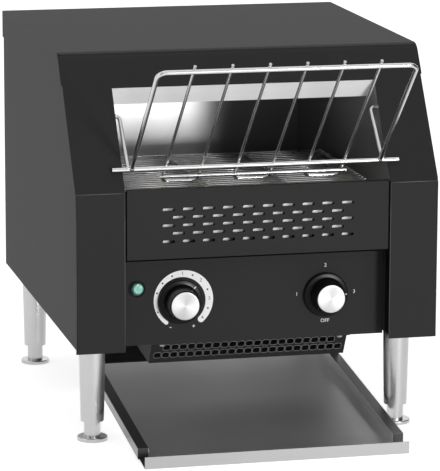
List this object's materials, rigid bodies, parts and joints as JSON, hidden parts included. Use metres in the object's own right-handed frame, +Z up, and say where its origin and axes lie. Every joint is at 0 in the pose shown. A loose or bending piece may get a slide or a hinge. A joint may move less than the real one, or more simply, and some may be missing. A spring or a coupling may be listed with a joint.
{
  "type": "conveyor toaster",
  "caption": "Countertop conveyor toaster: black casing on chromed legs, slanted loading mouth with a wire rack, two knobs, slotted vent panel and a sloping toast tray.",
  "frame": {"origin": "middle of the bounding box in plan, at the table", "axes": "+Z up, the front with the knobs faces -Y, +X to the right seen from the front"},
  "size_m": [0.3704, 0.5389, 0.4013],
  "materials": {
    "painted_body": "fine matt powder coat",
    "stainless": "brushed stainless sheet",
    "zinc_steel": "zinc plated",
    "bronze": "sintered bronze",
    "quartz": "frosted quartz tube",
    "ceramic": "unglazed ceramic",
    "chrome_wire": "bright chromed wire",
    "chrome_leg": "satin chromed",
    "black_plastic": "satin black moulding",
    "brushed_cap": "spun face",
    "green_lens": "tinted lens"
  },
  "bodies": {
    "casing": {"left_side_panel": "painted_body", "right_side_panel": "painted_body", "top_cover": "painted_body", "rear_panel": "painted_body", "base_plate": "painted_body", "vent_panel": "painted_body", "vent_liner": "stainless", "control_panel": "painted_body", "left_chamber_wall": "stainless", "right_chamber_wall": "stainless", "deflector_strip": "stainless", "back_wall": "stainless", "chamber_roof": "stainless", "controls_shield": "stainless", "conveyor_belt": "stainless", "shaft_bushes": "bronze", "drive_motor": "zinc_steel", "motor_gearbox": "zinc_steel", "drive_chain": "zinc_steel", "heating_elements": "quartz", "heater_insulators": "ceramic", "exit_ramp": "stainless", "exit_guard": "painted_body", "left_tray_carrier": "stainless", "right_tray_carrier": "stainless", "shaft_nuts": "zinc_steel", "speed_potentiometer": "black_plastic", "selector_switch": "black_plastic", "lamp_lens": "green_lens", "lamp_housing": "black_plastic", "legs": "chrome_leg", "leg_bolts": "zinc_steel", "fan_frame": "black_plastic", "cord_gland": "black_plastic", "panel_screws": "zinc_steel"},
    "motor_output": {"motor_shaft": "zinc_steel", "drive_sprocket": "zinc_steel"},
    "rear_conveyor_shaft": {"rear_shaft": "stainless", "rear_belt_wheels": "zinc_steel", "driven_sprocket": "zinc_steel"},
    "front_conveyor_shaft": {"front_shaft": "stainless", "front_belt_wheels": "zinc_steel"},
    "fan": {"fan_rotor": "black_plastic"},
    "speed_control": {"speed_knob": "black_plastic", "speed_knob_cap": "brushed_cap", "speed_shaft": "zinc_steel"},
    "mode_selector": {"selector_knob": "black_plastic", "selector_knob_cap": "brushed_cap", "selector_shaft": "zinc_steel"},
    "loading_rack": {"rack_frame": "chrome_wire", "rack_cross_rod": "chrome_wire", "rack_guide_wires": "chrome_wire", "rack_tie_rod": "chrome_wire", "left_rack_arm": "chrome_wire", "right_rack_arm": "chrome_wire"},
    "tray": {"toast_tray": "stainless"},
    "foot_front_left": {"front_left_foot": "chrome_leg"},
    "foot_front_right": {"front_right_foot": "chrome_leg"},
    "foot_rear_left": {"rear_left_foot": "chrome_leg"},
    "foot_rear_right": {"rear_right_foot": "chrome_leg"}
  },
  "joints": [
    {"name": "motor_spin", "type": "hinge", "parent": "casing", "child": "motor_output", "pos_m": [0.172, 0.0773, 0.165], "axis": [1, 0, 0], "continuous": true},
    {"name": "rear_shaft_spin", "type": "hinge", "parent": "casing", "child": "rear_conveyor_shaft", "pos_m": [0, 0.0773, 0.239], "axis": [1, 0, 0], "continuous": true},
    {"name": "front_shaft_spin", "type": "hinge", "parent": "casing", "child": "front_conveyor_shaft", "pos_m": [0, -0.1277, 0.239], "axis": [1, 0, 0], "continuous": true},
    {"name": "fan_spin", "type": "hinge", "parent": "casing", "child": "fan", "pos_m": [0.06, 0.2538, 0.175], "axis": [0, 1, 0], "continuous": true},
    {"name": "speed_turn", "type": "hinge", "parent": "casing", "child": "speed_control", "pos_m": [-0.0745, -0.1312, 0.1447], "axis": [0, 1, 0], "range_deg": [-190, 80]},
    {"name": "selector_turn", "type": "hinge", "parent": "casing", "child": "mode_selector", "pos_m": [0.0745, -0.1312, 0.1447], "axis": [0, 1, 0], "range_deg": [-270, 0]},
    {"name": "rack_swing", "type": "hinge", "parent": "casing", "child": "loading_rack", "pos_m": [0, -0.0972, 0.327], "axis": [-1, 0, 0], "range_deg": [0, 60]},
    {"name": "tray_slide", "type": "slide", "parent": "casing", "child": "tray", "axis": [0, -1, 0], "range_m": [0, 0.15]},
    {"name": "front_left_foot_screw", "type": "slide", "parent": "casing", "child": "foot_front_left", "axis": [0, 0, 1], "range_m": [-0.008, 0.012]},
    {"name": "front_right_foot_screw", "type": "slide", "parent": "casing", "child": "foot_front_right", "axis": [0, 0, 1], "range_m": [-0.008, 0.012]},
    {"name": "rear_left_foot_screw", "type": "slide", "parent": "casing", "child": "foot_rear_left", "axis": [0, 0, 1], "range_m": [-0.008, 0.012]},
    {"name": "rear_right_foot_screw", "type": "slide", "parent": "casing", "child": "foot_rear_right", "axis": [0, 0, 1], "range_m": [-0.008, 0.012]}
  ],
  "couplings": [
    {"joint": "rear_shaft_spin", "follows": "motor_spin", "ratio": 0.70588},
    {"joint": "front_shaft_spin", "follows": "motor_spin", "ratio": 0.70588}
  ]
}
